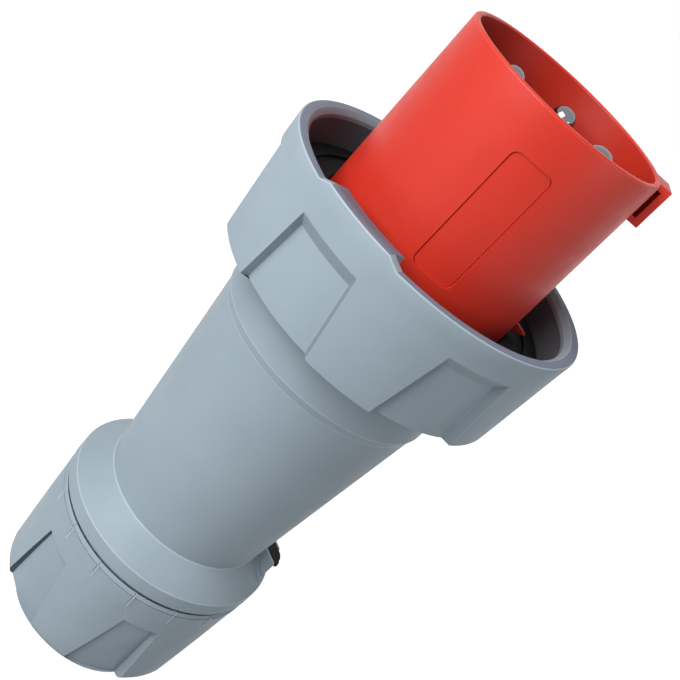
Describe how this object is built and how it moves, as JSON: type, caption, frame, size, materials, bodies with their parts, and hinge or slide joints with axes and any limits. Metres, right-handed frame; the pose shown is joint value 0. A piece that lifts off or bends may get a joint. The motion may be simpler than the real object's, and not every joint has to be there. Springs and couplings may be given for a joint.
{
  "type": "industrial pin and sleeve plug",
  "caption": "Industrial plug with a keyed red shroud around its contact pins, a turning bayonet ring, a tapered grey body and a cable gland nut.",
  "frame": {"origin": "centre of the flat end of the gland nut, which is the bottom of the object's box", "axes": "+Z along the plug's axis towards the pins, +X towards the key on the shroud"},
  "size_m": [0.111, 0.111, 0.249],
  "materials": {
    "red_polyamide": "fine satin",
    "grey_polyamide": "fine satin",
    "black_polyamide": "satin",
    "ivory_insulator": "matt",
    "black_rubber": "matt",
    "nickel_plated_brass": "bright nickel",
    "zinc_plated_steel": "bright zinc"
  },
  "bodies": {
    "body": {"contact_carrier": "red_polyamide", "housing": "grey_polyamide", "pin_retainer": "ivory_insulator", "face_seal": "black_rubber", "carrier_o_ring": "black_rubber", "cable_seal": "black_rubber", "pin_earth": "nickel_plated_brass", "pin_l1": "nickel_plated_brass", "pin_l2": "nickel_plated_brass", "pin_l3": "nickel_plated_brass", "pin_neutral": "nickel_plated_brass", "pin_pilot": "nickel_plated_brass", "terminal_screws": "zinc_plated_steel", "pilot_screw": "zinc_plated_steel", "retainer_screws": "zinc_plated_steel", "carrier_screws": "zinc_plated_steel"},
    "ring": {"locking_ring": "grey_polyamide"},
    "clamp": {"clamp_cage": "black_polyamide", "slip_washer": "black_polyamide"},
    "nut": {"gland_nut": "grey_polyamide"},
    "slider": {"lock_slider": "black_polyamide"}
  },
  "joints": [
    {"name": "ring_turn", "type": "hinge", "parent": "body", "child": "ring", "pos_m": [0, 0, 0.175], "axis": [0, 0, 1], "continuous": true},
    {"name": "gland_travel", "type": "slide", "parent": "body", "child": "clamp", "axis": [0, 0, 1], "range_m": [-0.01201, 0]},
    {"name": "nut_turn", "type": "hinge", "parent": "clamp", "child": "nut", "pos_m": [0, 0, 0.02], "axis": [0, 0, 1], "range_deg": [-1080, 0]},
    {"name": "lock_slide", "type": "slide", "parent": "body", "child": "slider", "axis": [0, 0, 1], "range_m": [-0.004, 0]}
  ],
  "couplings": [
    {"joint": "gland_travel", "follows": "nut_turn", "m_per_rad": 0.00063662}
  ]
}
